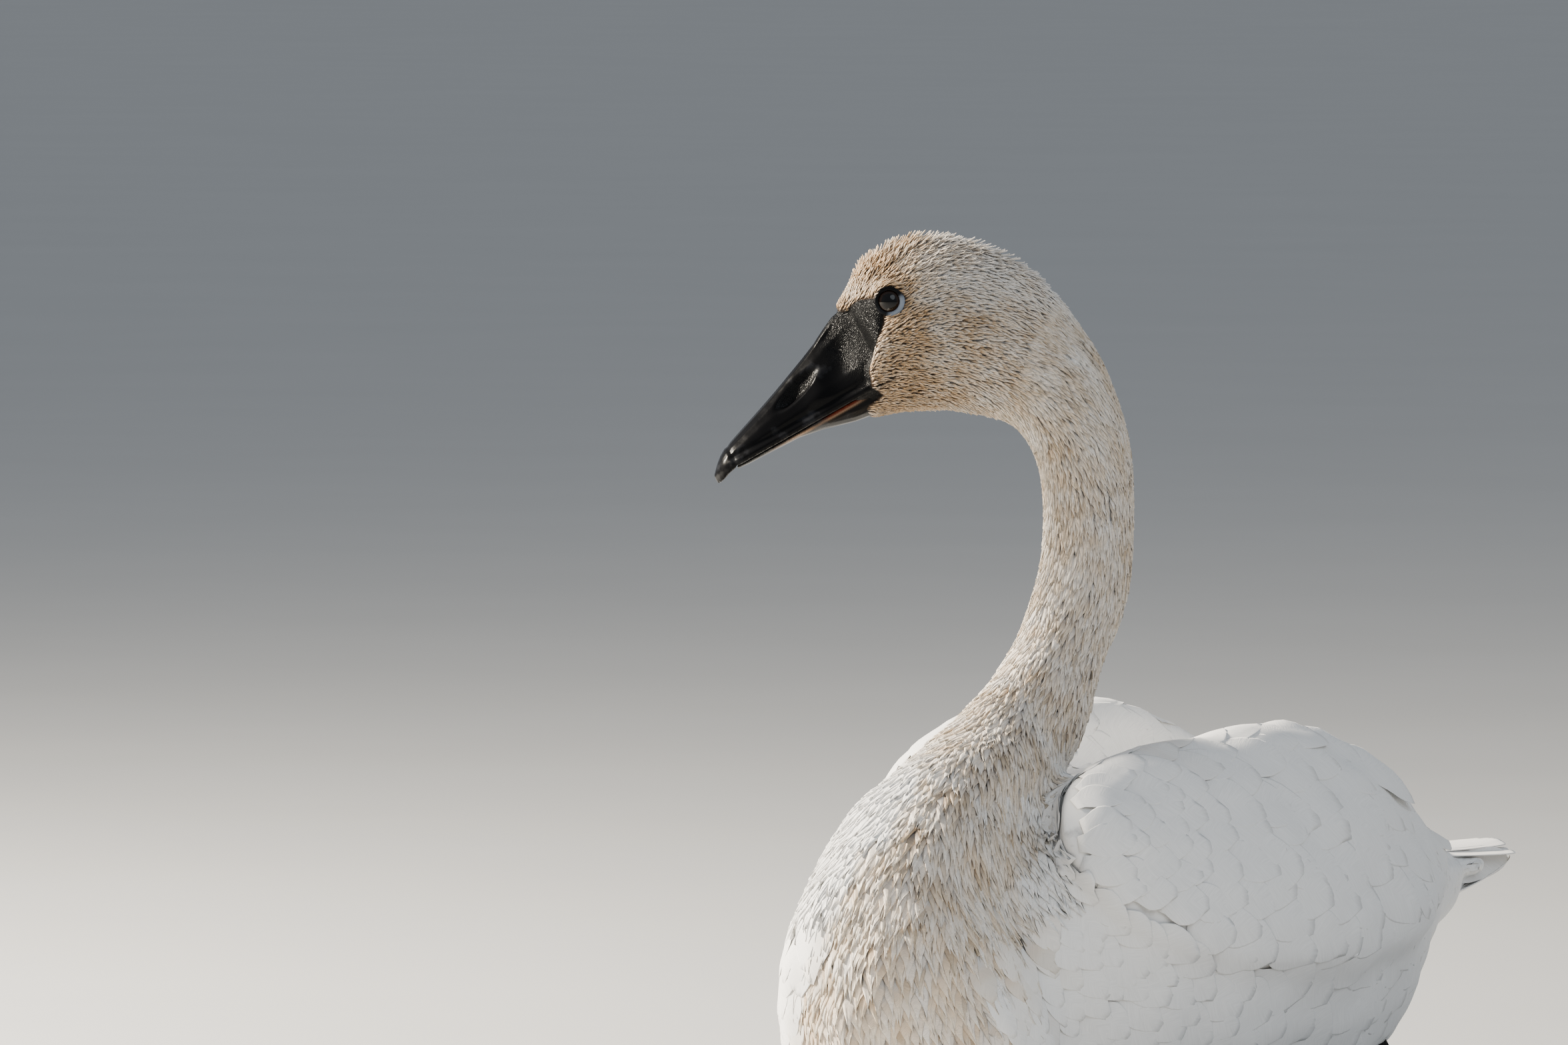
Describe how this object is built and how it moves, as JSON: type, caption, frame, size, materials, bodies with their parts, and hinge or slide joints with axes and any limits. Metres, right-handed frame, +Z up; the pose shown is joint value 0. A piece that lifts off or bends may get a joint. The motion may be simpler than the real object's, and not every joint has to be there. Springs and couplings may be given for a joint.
{
  "type": "trumpeter swan model",
  "caption": "Life-size still trumpeter swan resting on its belly, neck leaning back and head turned to its right, with an all-black bill.",
  "frame": {"origin": "on the floor, at the middle of the flat of the belly", "axes": "+Z up, -Y the way the breast faces, +X to the bird's left"},
  "size_m": [0.2983, 0.705, 0.483],
  "materials": {
    "plumage": "matte feathers, near white",
    "stained_plumage": "matte short feathers, stained ochre",
    "horn": "black horn with a soft sheen",
    "eye": "wet, dark brown",
    "foot_skin": "black scaly skin"
  },
  "bodies": {
    "root": {"trunk": "plumage", "wing_left": "plumage", "wing_right": "plumage", "tail": "plumage", "neck_lower": "plumage", "neck_middle": "plumage", "neck_upper": "plumage", "head": "stained_plumage", "bill_upper": "horn", "bill_lower": "horn", "eye_left": "eye", "eye_right": "eye", "leg_left": "foot_skin", "leg_right": "foot_skin", "foot_left": "foot_skin", "foot_right": "foot_skin"}
  },
  "joints": []
}
